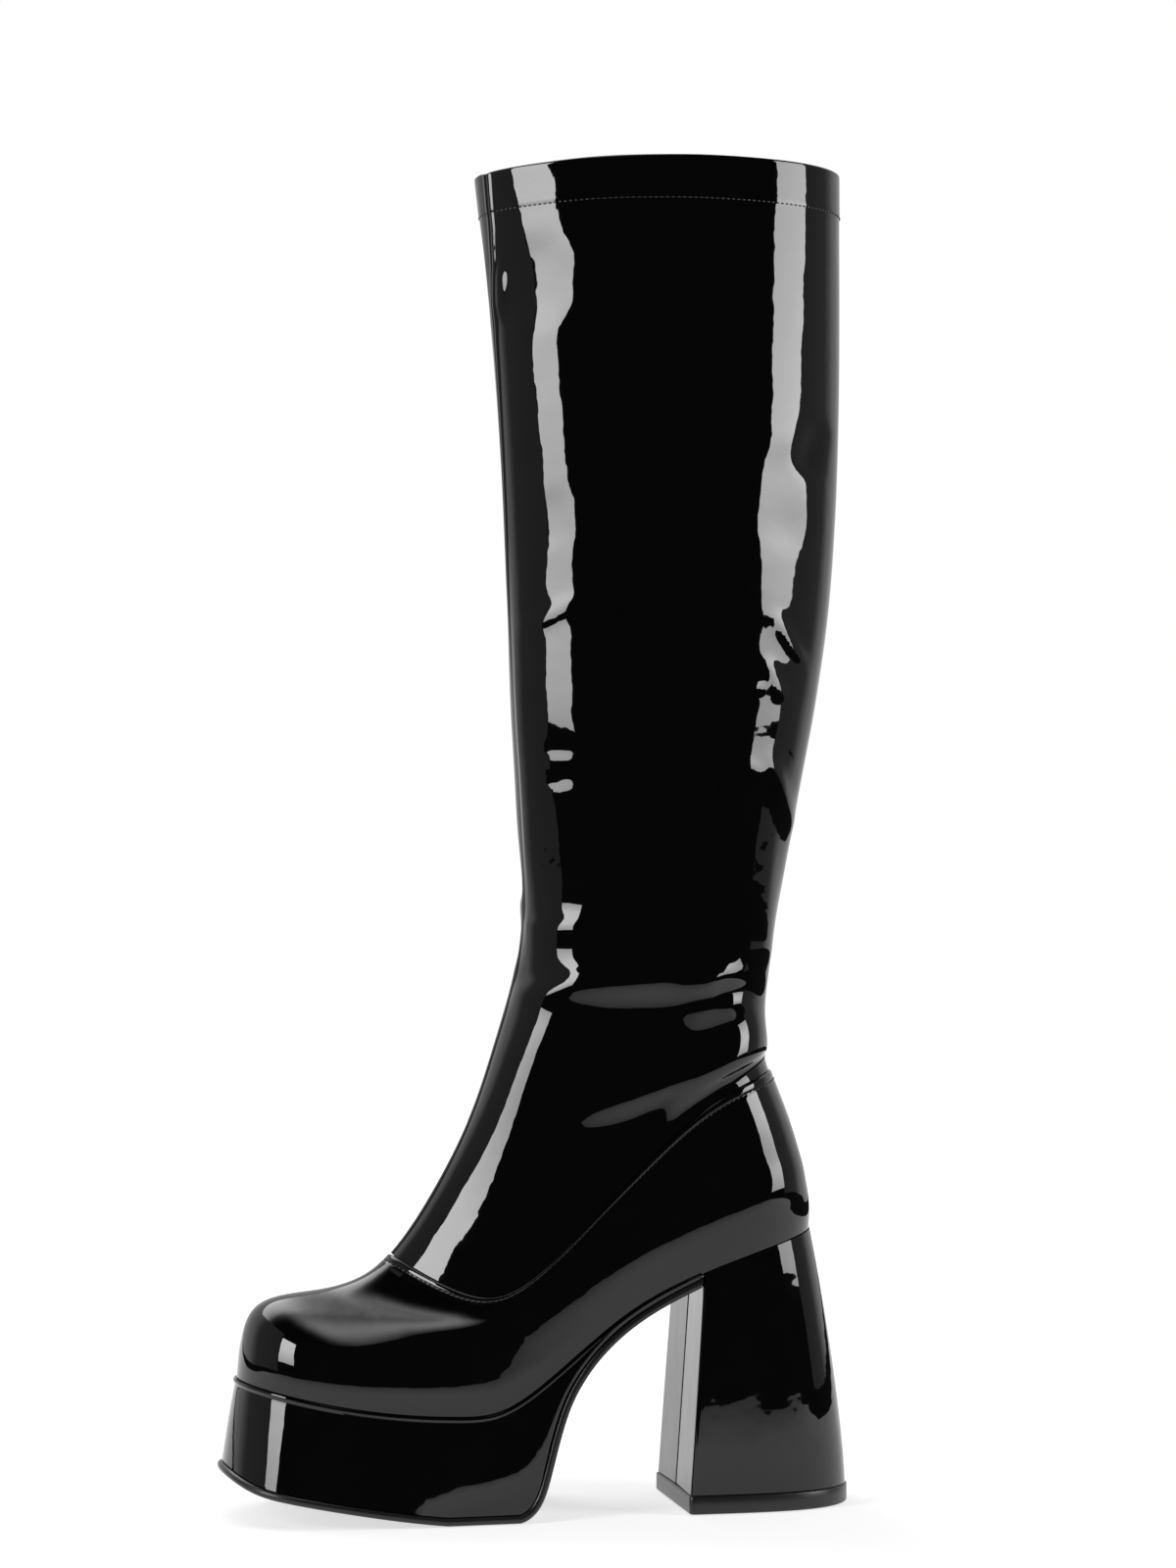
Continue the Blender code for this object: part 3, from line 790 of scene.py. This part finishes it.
# Heel: a moulded block wrapped in patent leather. The wrap goes round from the back and its
# ends meet in a seam down the middle of the breast.

HEEL_BREAST = 178.4
HEEL_BREAST_LEAN = 6.0
HEEL_BACK = 246.6
HEEL_BACK_LEAN = 14.0
HEEL_BACK_POWER = 1.4
HEEL_SIDE_POWER = 1.9
HEEL_HALF_WIDTH = 31.2
HEEL_ROUND = 3.9
HEEL_TOP_PIECE = 7.0
HEEL_CORNER = 1.6  # radius of the breast's edges
SEAT_EASE = 1.04  # width of the heel's top over that of the seat
SEAT_BACK_OUT = 1.3  # how far the heel's top stands out behind the seat
BREAST_DISH = 0.7
BREAST_CROWD = 1.8  # power that draws the points of the breast to its seam
SEAM_GROOVE = 0.6
SEAM_GROOVE_HALF = 0.55


def heel_plan(level):
    """One level of half the heel: x, y and share of the way back, from the breast's seam on.

    The breast is a shallow dish with a groove, the corner is a quarter circle, and the side
    goes from a power curve that closes at the back to the outline of the seat.
    """
    front = HEEL_BREAST + HEEL_BREAST_LEAN * level
    back = HEEL_BACK - HEEL_BACK_LEAN * level**HEEL_BACK_POWER
    first = HEEL_CORNER / (back - front)
    share = first + (1 - first) * np.sin(np.linspace(0, np.pi / 2, 60))
    seat_angle = np.arccos(
        1 - 2 * (BREAST + (foot_back - BREAST) * share - foot_front) / (foot_back - foot_front)
    )
    seat_y = -outline(seat_angle, 0.0)[0][:, 1] * SEAT_EASE
    foot_y = HEEL_HALF_WIDTH * np.sqrt(np.clip(1 - share**HEEL_ROUND, 0, 1))
    side_y = foot_y + (seat_y - foot_y) * level**HEEL_SIDE_POWER
    side_x = front + (back - front) * share
    flat = side_y[0] - HEEL_CORNER
    breast_y = flat * np.linspace(0, 1, 40)[:-1] ** BREAST_CROWD
    dish = BREAST_DISH * (1 - breast_y / flat)
    groove = SEAM_GROOVE * np.exp(-((breast_y / SEAM_GROOVE_HALF) ** 2))
    bend = np.linspace(0, np.pi / 2, 9)[:-1]
    x = [front + dish + groove, front + HEEL_CORNER * (1 - np.cos(bend)), side_x]
    y = [breast_y, flat + HEEL_CORNER * np.sin(bend), side_y]
    share = [0 * breast_y, first * (1 - np.cos(bend)), share]
    return np.concatenate(x), np.concatenate(y), np.concatenate(share)


heel_foot = HEEL_TOP_PIECE + GAP
seat_back = foot_back + SEAT_BACK_OUT
halves = []
for level in np.linspace(0, 1, 48):
    x, y, share = heel_plan(level)
    z = heel_foot + (foot_line(BREAST + (seat_back - BREAST) * share) - GAP - heel_foot) * level
    halves.append(np.stack([x, y, z], axis=1))
halves = np.stack(halves)
rings = np.concatenate([halves * (1, -1, 1), halves[:, -2:0:-1]], axis=1)
heel = lay_mesh("heel", close_ends(rings), patent)
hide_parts("heel")

# Heel top piece: a hard rubber lift nailed under the heel, a little wider than its foot,
# with its edges just broken.

TOP_PROUD = 0.6

# Broken edge: how far each row lies in from the side, and how far from the face.
TOP_EDGE = ((0.6, 0.0), (0.2, 0.2), (0.0, 0.6))

x, y, share = heel_plan(0.0)
x = np.where(share == 0, np.minimum(x, HEEL_BREAST), x)
half = np.stack([x, y, 0 * x], axis=1)
plan = np.concatenate([half * (1, -1, 1), half[-2:0:-1]])
centre = np.array([(HEEL_BREAST + HEEL_BACK) / 2, 0, 0])
top_edge = [(inset, HEEL_TOP_PIECE - way) for inset, way in TOP_EDGE[::-1]]
rows = []
for inset, height in (*TOP_EDGE, *top_edge):
    size = 1 + (TOP_PROUD - inset) / HEEL_HALF_WIDTH
    rows.append(centre + (plan - centre) * size + (0, 0, height))
top_piece = lay_mesh("heel_top_piece", close_ends(np.stack(rows)), rubber)
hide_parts("heel_top_piece")

# Stage: a white table that ends a little in front of the boot and glows with painted light, dim
# at its front edge and brighter towards its back, a white curved backdrop, two tall softboxes left
# and right, a soft overhead light, and a dark room behind the camera.

TABLE_SIDE = 0.85
TABLE_ROWS = (-0.46, -0.2, 0.4, 2.5)  # from its front edge to its back edge
# Painted light: the table glows, faint at its front edge as painted shade in the boot's
# reflections, and brighter towards its back edge.
TABLE_GLOW = (0.1, 0.65, 0.7, 1.2)
TABLE_TURN = 0.19  # its edges lie square to the camera
TABLE_TOP = -0.0003  # just under the soles
BACKDROP = 2.5  # radius
BACKDROP_HEIGHT = 3.0
BACKDROP_BEARINGS = (-70, -55, 65, 80)
BACKDROP_GLOW = (0.25, 0.75, 0.75, 0.25)
BOX_DISTANCE = 1.3

# Overhead light: a pool over the toe, and behind the boot a brighter part with soft edges.
OVERHEAD_HEIGHT = 2.0
OVERHEAD_X = (-1.8, 0.6)
OVERHEAD_Y = (-1.2, 3.0)
POOL_LIGHT = 3.0
POOL_X = -0.22
POOL_Y = -0.15
POOL_HALF_X = 0.25
POOL_HALF_Y = 0.8
REAR_LIGHT = 4.2
REAR_FRONT = 0.85
REAR_RIGHT = -0.08
REAR_SOFT = 0.12


def add_stage(name, points, glow, colour, seen=True):
    """Grid of points in metres, each with its glow, as a plain matt surface."""
    rows, columns = points.shape[:2]
    quads = grid_quads(np.arange(rows * columns).reshape(rows, columns))
    mesh = bpy.data.meshes.new(name)
    mesh.from_pydata(points.reshape(-1, 3).tolist(), [], quads.tolist())
    values = np.ravel(np.broadcast_to(glow, (rows, columns))).astype(float)
    mesh.attributes.new("glow", "FLOAT", "POINT").data.foreach_set("value", values)
    material, tree, _ = new_material(name)
    bright = add_node(tree, "ShaderNodeAttribute", {}, attribute_name="glow")
    shader = add_node(
        tree,
        "ShaderNodeBsdfPrincipled",
        {
            "Base Color": linear(colour),
            "Roughness": 0.9,
            "Specular IOR Level": 0.0,
            "Emission Color": (1, 1, 1, 1),
            "Emission Strength": (bright, "Fac"),
        },
    )
    close_material(tree, shader)
    mesh.materials.append(material)
    surface = bpy.data.objects.new(name, mesh)
    bpy.context.scene.collection.objects.link(surface)
    surface.visible_camera = seen


x, y = np.meshgrid((-TABLE_SIDE, TABLE_SIDE), TABLE_ROWS)
# The table's glow is painted light, rising from its dim front edge to its bright back edge.
glow = np.interp(y, TABLE_ROWS, TABLE_GLOW)
table = np.stack([x, y - TABLE_TURN * x, np.full(x.shape, TABLE_TOP)], axis=2)
add_stage("table_with_painted_glow", table, glow, "#bcbcbc")
bearing, height = np.meshgrid(np.linspace(-105, 105, 85), (0.0, BACKDROP_HEIGHT))
glow = np.interp(bearing, BACKDROP_BEARINGS, BACKDROP_GLOW)
bearing = np.radians(bearing)
card = np.stack([BACKDROP * np.sin(bearing), BACKDROP * np.cos(bearing), height], axis=2)
add_stage("white_backdrop", card, glow, "#202020", seen=False)


def add_softbox(name, bearing, width, heights, light):
    """Upright softbox at a bearing from straight ahead, its light a curve over its height."""
    bearing = np.radians(bearing)
    across, height = np.meshgrid(
        np.linspace(-width / 2, width / 2, 7), np.linspace(heights[0], heights[-1], 25)
    )
    x = BOX_DISTANCE * np.sin(bearing) + across * np.cos(bearing)
    y = across * np.sin(bearing) - BOX_DISTANCE * np.cos(bearing)
    glow = np.interp(height, heights, light)
    add_stage(name, np.stack([x, y, height], axis=2), glow, "#000000", seen=False)


add_softbox("left_softbox", -65.0, 0.40, (0.27, 0.4, 0.65, 1.1), (7.0, 8.7, 11.5, 12.0))
add_softbox("right_softbox", 65.0, 0.45, (0.18, 0.3, 0.55, 0.8, 1.1), (6.0, 7.0, 10.5, 8.5, 8.0))
x, y = np.meshgrid(np.linspace(*OVERHEAD_X, 61), np.linspace(*OVERHEAD_Y, 106))
pool = ((x - POOL_X) / POOL_HALF_X) ** 2 + ((y - POOL_Y) / POOL_HALF_Y) ** 2
behind = 1 + np.exp((REAR_FRONT - y) / REAR_SOFT)
beside = 1 + np.exp((x - REAR_RIGHT) / REAR_SOFT)
glow = POOL_LIGHT * np.exp(-pool) + REAR_LIGHT / behind / beside
overhead = np.stack([x, y, np.full(x.shape, OVERHEAD_HEIGHT)], axis=2)
add_stage("overhead_light", overhead, glow, "#000000", seen=False)

# The room is dark to reflections and light, and white where the camera looks past the table.
room = bpy.data.worlds.new("dark studio")
room.use_nodes = True
room.node_tree.nodes.clear()
seen = add_node(room.node_tree, "ShaderNodeLightPath", {})
walls = add_node(
    room.node_tree,
    "ShaderNodeMix",
    {
        "Factor": (seen, "Is Camera Ray"),
        "A": (0.02, 0.02, 0.02, 1),
        "B": (1, 1, 1, 1),
    },
    data_type="RGBA",
)
wall_light = add_node(room.node_tree, "ShaderNodeBackground", {"Color": (walls, 2)})
add_node(room.node_tree, "ShaderNodeOutputWorld", {"Surface": (wall_light, 0)})
bpy.context.scene.world = room
bpy.context.scene.view_settings.view_transform = "Standard"

# Camera: level with the ankle, 11 degrees towards the toe from square to the outer side.
eye = bpy.data.cameras.new("camera")
eye.sensor_width = 36
eye.lens = 82.89
eye.clip_end = 20
camera = bpy.data.objects.new("camera", eye)
camera.location = (-0.2491, -1.3960, 0.2358)
camera.rotation_euler = (np.radians(91.844), 0, np.radians(-10.966))
bpy.context.scene.collection.objects.link(camera)
bpy.context.scene.camera = camera
